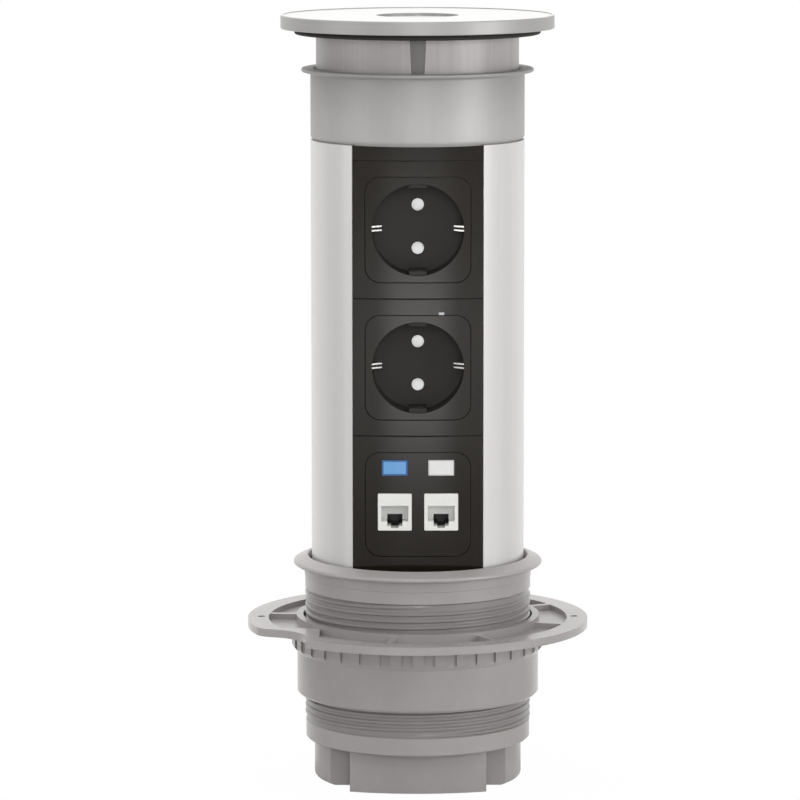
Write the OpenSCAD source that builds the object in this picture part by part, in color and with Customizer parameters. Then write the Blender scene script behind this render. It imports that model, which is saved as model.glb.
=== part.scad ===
// Pop up desk socket. A round column with two mains inserts and two network jacks
// lifts out of a threaded sleeve, which a clamp plate and a nut hold in a desk top.
// The origin is on the column's axis, on the plane that the foot stands on.
// +Z is up and -Y is the front. It is drawn raised to its full height.

/* [Lid] */
// Diameter of the lid
lid_d = 120; // [116:1:128]
// Height of the lid's rim
lid_h = 6; // [5:0.5:9]
// Sheet thickness of the pressed lid cap
lid_skin = 1.2; // [0.8:0.1:1.6]
// Diameter of the round dish in the middle of the lid
dish_d = 36; // [24:1:60]
// Depth of that dish
dish_depth = 1.3; // [0.4:0.1:1.6]
// Height of the fine bead round the lid's edge
edge_bead_h = 0.35; // [0.2:0.05:0.6]
// How far the lid lifts out of the collar
lid_lift = 14.8; // [10:0.2:16]
// Width of the seal ring round the neck, under the lid
lid_seal_w = 9.5; // [8:0.5:11]
// Height of that seal
lid_seal_h = 2.5; // [1.5:0.1:3.5]

/* [Neck] */
// Outer diameter of the neck tube
neck_d = 89; // [86:0.2:89.6]
// Wall of the neck tube
neck_wall = 1.5; // [1:0.1:2]
// Width of the front key at the top of the neck
key_top_w = 7.3; // [6:0.1:10]
// Width of the front key at the foot of the neck
key_foot_w = 4.4; // [3.6:0.1:5.8]
// Diameter of the latch plunger on the axis
plunger_d = 8; // [6:0.5:10]

/* [Collar] */
// Outer diameter of the collar's lip
collar_lip_d = 102; // [100:0.5:106]
// Height of that lip
collar_lip_h = 1.7; // [1.3:0.1:2.4]
// Height of the collar below its lip
collar_h = 29.6; // [29:0.2:34]
// Wall of the collar
collar_wall = 1.6; // [1.2:0.1:1.8]
// Thickness of the collar's floor
collar_floor = 1.6; // [1.2:0.1:2]

/* [Column] */
// Outer diameter of the column
column_d = 94; // [93:0.5:96]
// Wall of the column's extrusion
profile_wall = 2.2; // [1.8:0.1:2.6]
// Width of the black front strip
strip_w = 57; // [56:0.5:59]
// Depth of the strip's front, from the axis
strip_front = 39.6; // [39:0.1:40.2]
// Radius of the strip's faint curve
strip_radius = 160; // [140:5:400]
// Depth of the rails that carry the strip, from the axis
rail_front = 34.6; // [34:0.1:35]
// Angle of the four screw channels from the sides
channel_angle = 28; // [26:1:34]
// Bore of the screw channels
channel_bore = 3.6; // [3.2:0.1:4]
// How far the column travels through the sleeve
travel = 214; // [200:1:216]

/* [Modules] */
// Height of one module
module_h = 60; // [58:0.5:60]
// Side of the square inserts
insert_w = 45.8; // [45.2:0.1:46.2]
// Corner radius of the square inserts
insert_corner = 6.5; // [5:0.5:8]
// Height of the blank above the modules
top_filler_h = 6.4; // [5:0.2:12]

/* [Mains inserts] */
// Diameter of the round recess
recess_d = 40; // [39.5:0.1:40.6]
// Depth of the round recess
recess_depth = 17.5; // [17:0.1:18]
// Distance between the two pin holes
pin_pitch = 19; // [18.8:0.1:19.2]
// Diameter of the pin holes
pin_hole_d = 5.4; // [5.2:0.1:5.8]
// How far the child shutter slides
shutter_travel = 6.6; // [6.4:0.1:7]
// How far the earth prongs stand into the recess
prong_reach = 4.4; // [4:0.1:5]

/* [Network jacks] */
// Distance between the two jacks
jack_pitch = 20.2; // [19.6:0.1:21]
// Width of a jack's white bezel
bezel_w = 14.7; // [14.4:0.1:15]
// Height of a jack's white bezel
bezel_h = 16.2; // [16:0.1:16.8]
// Width of the plug opening
port_w = 11.7; // [11.7:0.1:11.9]
// Height of the plug opening above its keyway
port_h = 6.9; // [6.5:0.1:7]
// How far the dust shutter slides
dust_travel = 6.9; // [6.6:0.1:7]
// Width of a label tag
label_w = 11.2; // [10:0.1:12.5]
// Height of a label tag
label_h = 6.8; // [6:0.1:7.6]

/* [Sleeve] */
// Outer diameter of the sleeve's flange
flange_d = 110; // [108:0.5:116]
// Drop of the flange's sloped top
flange_drop = 2; // [1:0.1:2.4]
// Thickness of the flange at its rim
flange_rim = 2; // [1.6:0.1:3]
// Diameter over the thread's crests
thread_d = 100; // [99.6:0.2:101]
// Height of the thread's crests above its root
thread_depth = 0.8; // [0.6:0.05:0.9]
// Length of sleeve below the flange
sleeve_h = 77.8; // [76:0.2:82]
// Length of the threaded zone
thread_h = 59; // [56:0.5:60]
// Smooth band below the threaded zone
sleeve_foot_h = 7.8; // [6:0.2:9]
// Clearance between column and sleeve bore, on the radius
bore_gap = 0.9; // [0.7:0.1:1.1]

/* [Clamp] */
// Diameter of the clamp plate
plate_d = 151; // [149:1:158]
// Thickness of the clamp plate
plate_h = 3.5; // [3:0.1:5]
// Depth of the pockets between its ribs
pocket_depth = 2.4; // [1.5:0.1:2.5]
// Width of its plain rim
plate_rim = 9.2; // [8.8:0.1:10]
// Width of a rib
rib_w = 2.8; // [2:0.1:4]
// Distance of the two screw holes from the plate's edge
plate_hole_edge = 6; // [5.5:0.1:6.5]
// Diameter of the two screw holes
plate_hole_d = 3.5; // [3:0.1:4]
// Free height between the flange and the plate
desk_gap = 24.5; // [22:0.5:26]
// How far the nut's castellated band stands out
nut_band_step = 2.25; // [1.6:0.05:3]
// Height of the castellated band
nut_band_h = 11.1; // [8:0.1:14]
// Wall of the nut outside the thread
nut_wall = 3.5; // [2.8:0.1:4.4]
// Height of the nut
nut_h = 29.9; // [28:0.1:32]
// Number of castellations
nut_teeth = 36; // [24:1:48]

/* [Foot] */
// Step in from the column's side to the foot's side lobes
lobe_step = 1; // [0.5:0.1:1.5]
// Width of the front and rear lugs
lug_w = 60; // [58:0.5:62]
// Depth of the lugs' fronts, from the axis
lug_front = 41; // [40:0.2:42]
// Height of the foot that shows below the sleeve
foot_show = 18.4; // [16:0.2:22]
// How far the lugs stand below the side lobes
lug_drop = 0.5; // [0.3:0.1:1.5]
// Depth of the side lobes' flat fronts, from the axis
lobe_front = 25; // [24:0.5:27]
// Rounding of the side lobes' lower edge
lobe_round = 2; // [1.5:0.5:3]
// Bore of the mains cable's grommet
mains_way_d = 10; // [8:0.5:11]
// Bore of the data cables' grommet
data_way_d = 8; // [7:0.5:11]

/* [Hidden] */
$fn = 96;

// Clearances
seat_gap = 0.05;    // pieces of one body that are fitted together
slide_gap = 0.3;    // curved faces that run on each other
part_line = 0.2;    // the visible joints of the black front

// Radii
lid_r = lid_d / 2;
neck_r = neck_d / 2;
seal_r = neck_r + lid_seal_w;
column_r = column_d / 2;
column_in = column_r - profile_wall;
bore_r = column_r + bore_gap;
thread_r = thread_d / 2;
root_r = thread_r - thread_depth;
nut_bore_r = thread_r + 0.1;
nut_r = nut_bore_r + nut_wall;
nut_band_r = nut_r + nut_band_step;
lobe_r = column_r - lobe_step;
hub_in = thread_r + 0.9;
hub_out = hub_in + 3.1;

// Heights, from the floor up
sleeve_z = foot_show;
flange_under = sleeve_z + sleeve_h;
sleeve_top = flange_under + flange_rim + flange_drop;
lip_z = sleeve_top + travel;
lip_top = lip_z + collar_lip_h;
collar_z = lip_z - collar_h;
seal_z = lip_top + lid_lift;
lid_z = seal_z + lid_seal_h;
latch_z = collar_z + collar_floor;
screw_head_d = 6.4;
screw_head_h = 2;
neck_z = latch_z + screw_head_h + slide_gap + lid_lift;
foot_top = sleeve_z + 2.8;
modules_top = collar_z - top_filler_h;
module_count = 3;
strip_foot = modules_top - module_count * module_h;
upper_z = modules_top - 0.5 * module_h;
lower_z = modules_top - 1.5 * module_h;
data_z = modules_top - 2.5 * module_h;
plate_top = flange_under - desk_gap;
nut_top = plate_top - plate_h;
nut_z = nut_top - nut_h;

// Depths behind the front strip, as y values
rail_y = -rail_front;
recess_floor = -(strip_front - recess_depth);
floor_t = 1.2;
carrier_y = recess_floor + floor_t;
carrier_depth = 22;
carrier_back = carrier_y + carrier_depth;

// Colours
dark_plastic = "#33302d";
grey_plastic = "#8f8b88";
steel = "#b9b8b6";
brass_tone = "#c8a24a";
white_plastic = "#efefec";

// Points of an arc about c, from angle a to angle b
function arc(c, r, a, b, n = 6) =
    [for (i = [0:n]) let (t = a + (b - a) * i / n) [c[0] + r * cos(t), c[1] + r * sin(t)]];

// A square with round corners, centred
module rounded_square(w, h, r) {
    x = w / 2 - r;
    y = h / 2 - r;
    polygon(concat(arc([x, y], r, 0, 90), arc([-x, y], r, 90, 180),
                   arc([-x, -y], r, 180, 270), arc([x, -y], r, 270, 360)));
}

// A flat shape drawn in x and z, as thick as from y = front to y = back
module slab(front, back) {
    translate([0, back, 0])
        rotate([90, 0, 0])
            linear_extrude(height = back - front)
                children();
}

// A round bar along y
module bar_y(r, front, back) {
    slab(front, back) circle(r = r);
}

// A tube along z
module tube(r_out, r_in, low, high) {
    translate([0, 0, low])
        difference() {
            cylinder(r = r_out, h = high - low);
            translate([0, 0, -1]) cylinder(r = r_in, h = high - low + 2);
        }
}

// The front strip's cross section, w wide, from its curved front back to y = back
module strip_plan(w, back, front = strip_front, radius = strip_radius) {
    intersection() {
        translate([-w / 2, -front - 5]) square([w, front + 5 + back]);
        translate([0, radius - front]) circle(r = radius, $fn = 360);
    }
}

// The four screw channels' places
module at_channels() {
    for (a = [-channel_angle, channel_angle, 180 - channel_angle, 180 + channel_angle])
        rotate(a) translate([channel_place, 0]) children();
}
channel_wall = 1.8;
channel_r = channel_bore / 2 + channel_wall;
channel_place = column_in - channel_r + 0.6;

// Fixed in the desk

flange_r = flange_d / 2;
band_h = 8;
band_t = bore_gap - slide_gap - seat_gap;

module desk_sleeve() color(grey_plastic)
    difference() {
        rotate_extrude()
            polygon(concat(
                [[bore_r, sleeve_z], [thread_r - 0.75, sleeve_z], [thread_r - 0.25, sleeve_z + 0.5],
                 [thread_r - 0.25, sleeve_z + sleeve_foot_h], [root_r, sleeve_z + sleeve_foot_h + 0.5],
                 [root_r, sleeve_z + sleeve_foot_h + thread_h],
                 [thread_r, sleeve_z + sleeve_foot_h + thread_h + 0.6],
                 [thread_r, flange_under - 5.2], [thread_r + 0.25, flange_under - 5]],
                arc([thread_r + 1.25, flange_under - 1], 1, 180, 90, 4),
                arc([flange_r - 0.7, flange_under + 0.7], 0.7, -90, 0, 4),
                arc([flange_r - 1.2, flange_under + flange_rim - 1.2], 1.2, 0, 75, 5),
                arc([bore_r + 1.4, sleeve_top - 0.8], 0.8, 75, 180, 5),
                [[bore_r, sleeve_top - 2.2]]
            ));
        // seats of the two glide bands
        for (z = [upper_band_z, lower_band_z])
            translate([0, 0, z]) cylinder(r = bore_r + 0.2, h = band_h);
    }

upper_band_z = sleeve_top - 12;
lower_band_z = sleeve_z + 3;

module glide_band(z) color("#3a3a3c")
    tube(bore_r + 0.2 - seat_gap, column_r + slide_gap, z + seat_gap, z + band_h - seat_gap);

module upper_glide_band() glide_band(upper_band_z);
module lower_glide_band() glide_band(lower_band_z);

// Clamp

plate_r = plate_d / 2;
scallop_angle = 217;
scallop_place = plate_r + 12.5;
scallop_r = 22;
scallop_round = 9;
rib_angles = [27, -16, -60, -101, 173, 120, 78];
pad_x = 43;    // a plain pad beside the scallop starts here
pad_y = 29;

// Where the scallop meets the plate's edge on the ear's side, rounded by a circle
// that touches the plate's edge from inside and the scallop from outside.
function meet(a, b, c) = acos((a * a + b * b - c * c) / (2 * a * b));
round_reach = plate_r - scallop_round;
round_angle = scallop_angle - meet(round_reach, scallop_place, scallop_r + scallop_round);
round_c = round_reach * [cos(round_angle), sin(round_angle)];
scallop_c = scallop_place * [cos(scallop_angle), sin(scallop_angle)];
round_in = round_c + (scallop_c - round_c) * scallop_round / (scallop_r + scallop_round);
round_out = plate_r * [cos(round_angle), sin(round_angle)];
corner_angle = scallop_angle - meet(plate_r, scallop_place, scallop_r);
corner = (plate_r + 1) * [cos(corner_angle), sin(corner_angle)];

module plate_outline() {
    difference() {
        circle(r = plate_r);
        translate(scallop_c) circle(r = scallop_r);
        difference() {
            polygon([round_c, round_out, 1.03 * round_out, 1.06 * corner, round_in]);
            translate(round_c) circle(r = scallop_round);
        }
    }
}

module pocket_plan() {
    difference() {
        circle(r = plate_r - plate_rim);
        circle(r = hub_out);
        translate(scallop_c) circle(r = scallop_r + 4);
        translate([-plate_r, -plate_r]) square([plate_r - pad_x, plate_r - pad_y]);
        for (a = rib_angles)
            rotate(a) translate([0, -rib_w / 2]) square([plate_r, rib_w]);
    }
}

module clamp_plate() color(grey_plastic)
    translate([0, 0, nut_top])
        difference() {
            union() {
                linear_extrude(height = plate_h) plate_outline();
                translate([0, 0, plate_h - 1]) cylinder(r = hub_out, h = 2.5);
            }
            translate([0, 0, -1]) cylinder(r = hub_in, h = plate_h + 4);
            translate([0, 0, plate_h - pocket_depth])
                linear_extrude(height = pocket_depth + 1) pocket_plan();
            for (side = [-1, 1])
                translate([side * (plate_r - plate_hole_edge), 0, -1])
                    cylinder(d = plate_hole_d, h = plate_h + 2);
        }

tooth_gap = 4.8;
tooth_depth = 1.1;
band_chamfer = 2.7;

module clamp_nut() color(grey_plastic)
    difference() {
        rotate_extrude()
            polygon([
                [nut_bore_r, nut_z], [nut_r - 1, nut_z], [nut_r, nut_z + 1],
                [nut_r, nut_top - nut_band_h], [nut_band_r, nut_top - nut_band_h + band_chamfer],
                [nut_band_r, nut_top], [nut_bore_r, nut_top]
            ]);
        for (i = [0:nut_teeth - 1])
            rotate((i + 0.5) * 360 / nut_teeth)
                translate([nut_band_r - tooth_depth, -tooth_gap / 2, nut_top - nut_band_h - 1])
                    cube([tooth_depth + 2, tooth_gap, nut_band_h + 2]);
    }

// Column

module profile_plan() {
    difference() {
        union() {
            difference() {
                circle(r = column_r);
                circle(r = column_in);
            }
            // front rails, which the black modules rest on and hook behind
            for (side = [-1, 1])
                translate([side * (rail_in + rail_w / 2), rail_y + rail_t / 2])
                    square([rail_w, rail_t], center = true);
            at_channels() circle(r = channel_r);
        }
        // the open front
        translate([-strip_w / 2, -column_r - 1]) square([strip_w, column_r + 1 + rail_y]);
        translate([-rail_in, -column_r - 1]) square([2 * rail_in, column_r - 20]);
        at_channels() circle(d = channel_bore);
    }
}
rail_in = strip_w / 2 - 3.1;
rail_w = 5.6;
rail_t = 2;

module column_profile() color("#cfcfce")
    translate([0, 0, foot_top])
        linear_extrude(height = collar_z - foot_top) profile_plan();

collar_in = column_r - collar_wall;
lip_r = collar_lip_d / 2;

collar_round = 2.2;

module collar_ring() color(grey_plastic)
    difference() {
        rotate_extrude()
            polygon(concat(
                [[0, collar_z], [column_r - collar_round / 2 - 0.15, collar_z]],
                arc([column_r - collar_round, collar_z + collar_round], collar_round, -60, 0, 4),
                arc([column_r + 1.2, lip_z - 1.2], 1.2, 180, 90, 4),
                arc([lip_r - 0.8, lip_z + 0.8], 0.8, -90, 0, 3),
                arc([lip_r - 0.8, lip_top - 0.8], 0.8, 0, 90, 3),
                [[collar_in + 0.8, lip_top], [collar_in, lip_top - 0.8],
                 [collar_in, latch_z], [0, latch_z]]
            ));
        at_channels()
            translate([0, 0, collar_z - 1]) cylinder(d = screw_d + 0.6, h = collar_floor + 2);
        translate([0, 0, neck_band_z]) cylinder(r = collar_in + 0.2, h = neck_band_h);
    }

neck_band_h = 6;
neck_band_z = lip_top - 11;

module neck_glide_band() color("#3a3a3c")
    tube(collar_in + 0.2 - seat_gap, neck_r + slide_gap,
         neck_band_z + seat_gap, neck_band_z + neck_band_h - seat_gap);

screw_d = channel_bore - 2 * seat_gap;

// A pan head screw that points down from z = 0
module screw(length, shaft_d = screw_d, head_d = screw_head_d, head_h = screw_head_h) {
    translate([0, 0, -length]) cylinder(d = shaft_d, h = length + 0.5);
    difference() {
        cylinder(d = head_d, h = head_h);
        for (a = [0, 90])
            rotate(a) translate([-head_d * 0.3, -0.4, head_h * 0.5]) cube([head_d * 0.6, 0.8, head_h]);
    }
}

screw_bite = 12;

module collar_screws() color(steel)
    at_channels() translate([0, 0, latch_z]) screw(collar_floor + screw_bite);

// Foot of the column

lug_top = sleeve_z - slide_gap;
lug_back = 26;
lug_plate_back = 20;
lug_radius = 100;   // of the lugs' faint curve
foot_in = 37.5;
foot_under = lug_drop + 1.2;
foot_under_r = 25;
foot_floor = foot_under + 2.5;
way_y = 6;
mains_way_x = -13;
data_way_x = 15;

module lug_plan(back) {
    intersection() {
        strip_plan(lug_w, -back, lug_front, lug_radius);
        translate([-lug_w / 2, -lug_front - 1]) square([lug_w, lug_front + 1 - back]);
    }
}

module foot_cap() color(grey_plastic)
    difference() {
        union() {
            // side lobes, and the rim that carries the extrusion
            difference() {
                rotate_extrude()
                    polygon(concat([[0, lug_drop]],
                        arc([lobe_r - lobe_round, lug_drop + lobe_round], lobe_round, -90, 0),
                        [[lobe_r, foot_top], [0, foot_top]]));
                for (turn = [0, 180])
                    rotate(turn)
                        translate([-lobe_r, -2 * lobe_r, 0])
                            cube([2 * lobe_r, 2 * lobe_r - lobe_front, lug_top]);
            }
            // front and rear lugs
            for (turn = [0, 180])
                rotate(turn) {
                    translate([0, 0, lug_drop])
                        linear_extrude(height = lug_top - lug_drop) lug_plan(lug_plate_back);
                    linear_extrude(height = lug_drop + 1) lug_plan(lug_back);
                }
        }
        translate([0, 0, foot_floor]) cylinder(r = foot_in, h = foot_top);
        translate([0, 0, -1]) cylinder(r = foot_under_r, h = foot_under + 1);
        translate([mains_way_x, way_y, -1]) cylinder(r = mains_way_d / 2 + 2, h = foot_floor + 2);
        translate([data_way_x, way_y, -1]) cylinder(r = data_way_d / 2 + 2, h = foot_floor + 2);
        at_channels() {
            translate([0, 0, -1]) cylinder(d = screw_d + 0.6, h = foot_top + 2);
            translate([0, 0, -1]) cylinder(d = screw_head_d + 0.6, h = foot_floor + 3);
        }
    }

module foot_screws() color(steel)
    at_channels() translate([0, 0, foot_floor + 2]) rotate([180, 0, 0]) screw(foot_top + 8);

// A rubber ring with a groove that grips the foot's floor
module grommet(way_d, x) color("#2b2b2b")
    translate([x, way_y, 0])
        rotate_extrude()
            polygon([
                [way_d / 2, foot_under - 0.9], [way_d / 2 + 3, foot_under - 0.9],
                [way_d / 2 + 3.6, foot_under - 0.3], [way_d / 2 + 3.6, foot_under - seat_gap],
                [way_d / 2 + 2 - seat_gap, foot_under - seat_gap],
                [way_d / 2 + 2 - seat_gap, foot_floor + seat_gap], [way_d / 2 + 3.6, foot_floor + seat_gap],
                [way_d / 2 + 3, foot_floor + 2], [way_d / 2 + 0.8, foot_floor + 3.4],
                [way_d / 2, foot_floor + 3.4]
            ]);

module mains_grommet() grommet(mains_way_d, mains_way_x);
module data_grommet() grommet(data_way_d, data_way_x);

// Black front

hook_w = 8;
hook_t = 1.6;
hook_x = rail_in - seat_gap * 3 - hook_t;

// Snap hooks that reach past the rails, at height z
module hooks(z) {
    for (side = [-1, 1])
        scale([side, 1, 1])
            translate([0, 0, z - hook_w / 2])
                linear_extrude(height = hook_w)
                    polygon([
                        [hook_x, rail_y - 0.5], [hook_x + hook_t, rail_y - 0.5],
                        [hook_x + hook_t, rail_y + 2.1], [hook_x + hook_t + 1.2, rail_y + 2.3],
                        [hook_x + hook_t, rail_y + 3.9], [hook_x, rail_y + 3.9]
                    ]);
}

module blank(low, high, hook_heights) color(dark_plastic) {
    translate([0, 0, low + part_line / 2])
        linear_extrude(height = high - low - part_line) strip_plan(strip_w - 2 * part_line, rail_y);
    for (z = hook_heights) hooks(z);
}

module top_filler() blank(modules_top, collar_z, []);
module bottom_filler() blank(foot_top, strip_foot, [foot_top + 12, strip_foot - 12]);

// The fine step round the faces' edges, which the seams lie in
edge_step = 0.3;
edge_step_depth = 0.6;
lens_w = 2.4;
lens_h = 1.1;
lens_x = 10.2;

module module_frame(z, has_lens) color(dark_plastic)
    translate([0, 0, z]) {
        difference() {
            for (step = [[0, edge_step_depth], [edge_step, 0]])
                translate([0, 0, part_line / 2 + step[0] - module_h / 2])
                    linear_extrude(height = module_h - part_line - 2 * step[0])
                        strip_plan(strip_w - 2 * part_line, rail_y, strip_front - step[1]);
            slab(-strip_front - 2, rail_y + 1)
                rounded_square(insert_w + 2 * part_line, insert_w + 2 * part_line, insert_corner + part_line);
            if (has_lens)
                translate([lens_x, 0, insert_w / 2])
                    slab(-strip_front - 2, rail_y + 1)
                        square([lens_w + 2 * seat_gap, 2 * (part_line + lens_h + seat_gap)], center = true);
        }
        for (side = [-1, 1]) hooks(side * (module_h / 2 - hook_w));
    }

module upper_socket_frame() module_frame(upper_z, false);
module lower_socket_frame() module_frame(lower_z, true);
module data_frame() module_frame(data_z, false);

// The face of an insert: a rounded square with the strip's curve, and a flange behind the frame
flange_t = 1.4;
module insert_face() {
    for (step = [[0, edge_step_depth], [edge_step, 0]])
        intersection() {
            translate([0, 0, -insert_w])
                linear_extrude(height = 2 * insert_w)
                    strip_plan(insert_w + 2, rail_y + 0.2, strip_front - step[1]);
            slab(-strip_front - 2, rail_y + 1)
                rounded_square(insert_w - 2 * step[0], insert_w - 2 * step[0], insert_corner - step[0]);
        }
    slab(rail_y, rail_y + flange_t) square([insert_w - 8, insert_w + 4], center = true);
}

// Mains inserts

cup_wall = 2.2;
cup_r = recess_d / 2 + cup_wall;
clip_h = 2.4;
clip_way_h = clip_h + 0.6;
key_w = 7.7;
key_depth = 1.9;
key_back = 1.6;     // how far behind the strip's front the guide ribs start

// The recess drawn in x and z, with a guide rib above and below
module recess_outline()
    difference() {
        circle(r = recess_d / 2);
        for (side = [-1, 1])
            translate([0, side * recess_d / 2]) square([key_w, 2 * key_depth], center = true);
    }

module socket_insert(z) color(dark_plastic)
    translate([0, 0, z])
        difference() {
            union() {
                insert_face();
                bar_y(cup_r, rail_y - 1, carrier_y);
            }
            slab(-strip_front - 2, recess_floor) recess_outline();
            bar_y(recess_d / 2, -strip_front - 2, key_back - strip_front);
            for (side = [-1, 1]) {
                translate([0, 0, side * pin_pitch / 2])
                    bar_y(pin_hole_d / 2, recess_floor - 1, carrier_y + 1);
                // the earth prong's way in
                translate([side * (recess_d / 2 + 1), 0, 0])
                    slab(rail_y + flange_t - 1, carrier_y - 2.5)
                        square([cup_wall * 2 + 3, clip_way_h], center = true);
            }
        }

module upper_socket_insert() socket_insert(upper_z);
module lower_socket_insert() socket_insert(lower_z);

module indicator_lens() color("#dfe8ea")
    translate([lens_x, 0, lower_z + insert_w / 2 + part_line + lens_h / 2])
        slab(0.2 - strip_front, rail_y - seat_gap) square([lens_w, lens_h], center = true);

// Bent strip with a slotted prong at each end, which reach in through the recess wall
clip_t = 0.8;
arm_x = cup_r + 0.3;
clip_back = carrier_y + 3.3;
prong_x = recess_d / 2 - prong_reach;
prong_y = rail_y + 4.4;

clip_half = [
    [arm_x + clip_t, clip_back], [arm_x + clip_t, prong_y + 3], [prong_x + 1.3, prong_y],
    [prong_x + 5.5, prong_y - 3.4], [prong_x + 4.9, prong_y - 4], [prong_x, prong_y - 0.1],
    [arm_x, prong_y + 3.6], [arm_x, clip_back - 1]
];

module earth_clip(z) color(steel)
    translate([0, 0, z - clip_h / 2])
        difference() {
            linear_extrude(height = clip_h)
                polygon(concat(clip_half,
                    [for (i = [len(clip_half) - 1:-1:0]) [-clip_half[i][0], clip_half[i][1]]]));
            for (side = [-1, 1])
                scale([side, 1, 1]) translate([prong_x - 1, prong_y - 5, clip_h / 2 - 0.5]) cube([7, 8, 1]);
        }

module upper_earth_clip() earth_clip(upper_z);
module lower_earth_clip() earth_clip(lower_z);

earth_bar_t = 1;
earth_bar_w = 5;
earth_bar_over = 3;

module earth_bar() color(brass_tone)
    translate([-arm_x - clip_t - earth_bar_t, clip_back - earth_bar_w, lower_z - earth_bar_over])
        cube([earth_bar_t, earth_bar_w, upper_z - lower_z + 2 * earth_bar_over]);

// Contact carrier behind an insert: pocket of the shutter, channel of the earth clip, seats of the contacts
carrier_w = 43;
shutter_w = 7.4;
shutter_h = pin_pitch + shutter_w;
shutter_t = 1.4;
contact_r = 3.3;
block_h = 6.8;
block_w = 12.4;
block_t = 5;
bar_x = 6.5;

module socket_back(z) color("#4a4744")
    translate([0, 0, z])
        difference() {
            slab(carrier_y, carrier_back) rounded_square(carrier_w, carrier_w, 4);
            translate([shutter_travel / 2, 0, 0])
                slab(carrier_y - 1, carrier_y + shutter_t + 0.4)
                    square([shutter_w + shutter_travel + 0.6, shutter_h + 0.4], center = true);
            slab(carrier_y - 1, clip_back + 0.2) square([carrier_w + 2, clip_h + 0.8], center = true);
            for (side = [-1, 1])
                translate([0, 0, side * pin_pitch / 2]) {
                    bar_y(contact_r + seat_gap, carrier_y + 1, carrier_back + 1);
                    translate([-side * block_shift, 0, 0])
                        slab(carrier_back - block_t, carrier_back + 1)
                            square([block_w + 0.2, block_h + 0.2], center = true);
                }
        }
block_shift = 3;

module upper_socket_back() socket_back(upper_z);
module lower_socket_back() socket_back(lower_z);

// Two contact tubes, each with a terminal block: the upper one's block stands left, the lower one's right
module pin_contacts(z) color(brass_tone)
    for (side = [-1, 1])
        translate([0, 0, z + side * pin_pitch / 2])
            difference() {
                union() {
                    bar_y(contact_r, carrier_y + shutter_t + 0.6, carrier_back - block_t + 0.5);
                    translate([-side * block_shift, 0, 0])
                        slab(carrier_back - block_t, carrier_back) square([block_w, block_h], center = true);
                }
                bar_y(pin_hole_d / 2 - 0.2, carrier_y, carrier_back - block_t - 1);
                // spring slots of the tube
                slab(carrier_y, carrier_back - block_t - 6) square([0.8, 2 * contact_r + 1], center = true);
                translate([-side * bar_x, 0, 0]) bar_y(1.3, carrier_back - 4, carrier_back + 1);
            }

module upper_pin_contacts() pin_contacts(upper_z);
module lower_pin_contacts() pin_contacts(lower_z);

bus_t = 1.2;
bus_w = 5;

module bus_bars() color(brass_tone)
    for (side = [-1, 1])
        translate([-side * bar_x, 0, side * pin_pitch / 2])
            difference() {
                slab(carrier_back, carrier_back + bus_t)
                    translate([0, (upper_z + lower_z) / 2])
                        square([bus_w, upper_z - lower_z + block_h], center = true);
                for (z = [upper_z, lower_z])
                    translate([0, 0, z]) bar_y(1.3, carrier_back - 1, carrier_back + bus_t + 1);
            }

terminal_bite = 3;
terminal_head_d = 4.6;

module terminal_screws() color(steel)
    for (z = [upper_z, lower_z])
        for (side = [-1, 1])
            translate([-side * bar_x, carrier_back + bus_t, z + side * pin_pitch / 2])
                rotate([-90, 0, 0]) screw(bus_t + terminal_bite, 2.5, terminal_head_d, 1.8);

module pin_shutter(z) color(white_plastic)
    translate([0, 0, z])
        difference() {
            slab(carrier_y + 0.2, carrier_y + 0.2 + shutter_t) square([shutter_w, shutter_h], center = true);
            // ramps that a plug's pins push on
            for (side = [-1, 1])
                translate([0, carrier_y + 0.2, side * pin_pitch / 2 - 2.8])
                    linear_extrude(height = 5.6)
                        polygon([[-shutter_w / 2 - 1, -1], [shutter_w / 2 - 2, -0.1],
                            [-shutter_w / 2 - 1, 0.8]]);
        }

module upper_pin_shutter() pin_shutter(upper_z);
module lower_pin_shutter() pin_shutter(lower_z);

// Network jacks

jack_place = 19.7;    // from the plate's lower edge
label_place = 6.7;    // from its upper edge
jack_z = data_z - insert_w / 2 + jack_place;
label_z = data_z + insert_w / 2 - label_place;
bezel_front = -strip_front - 0.5;
bezel_back = rail_y + flange_t;
port_top = jack_z + 2.75;
port_low = port_top - port_h;
key1_w = 6.6;
key1_h = 1.9;
key2_w = 3.4;
key2_h = 0.9;
tag_t = 1.5;
tag_floor = -strip_front + 1.4;

// The plug opening with its stepped keyway, drawn in x and z
module port_plan(grow = 0) {
    translate([-port_w / 2 - grow, port_low - grow]) square([port_w + 2 * grow, port_h + 2 * grow]);
    translate([-key1_w / 2 - grow, port_low - key1_h - grow]) square([key1_w + 2 * grow, key1_h + 1 + grow]);
    translate([-key2_w / 2 - grow, port_low - key1_h - key2_h - grow])
        square([key2_w + 2 * grow, key2_h + 1 + grow]);
}

module data_plate() color(dark_plastic)
    difference() {
        translate([0, 0, data_z]) insert_face();
        for (side = [-1, 1])
            translate([side * jack_pitch / 2, 0, 0]) {
                translate([0, 0, jack_z])
                    slab(-strip_front - 2, rail_y + 3)
                        square([bezel_w + 4 * seat_gap, bezel_h + 4 * seat_gap], center = true);
                translate([0, 0, jack_z])
                    slab(rail_y, rail_y + 3)
                        square([bezel_w + 2 + 4 * seat_gap, bezel_h + 2.6 + 4 * seat_gap], center = true);
                translate([0, 0, label_z])
                    slab(-strip_front - 2, tag_floor)
                        square([label_w + 2 * seat_gap, label_h + 2 * seat_gap], center = true);
            }
    }

module label_tag(side, tone) color(tone)
    translate([side * jack_pitch / 2, 0, label_z])
        slab(tag_floor - tag_t, tag_floor) rounded_square(label_w, label_h, 0.4);

module blue_label_tag() label_tag(-1, "#6aa5e0");
module white_label_tag() label_tag(1, white_plastic);

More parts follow.
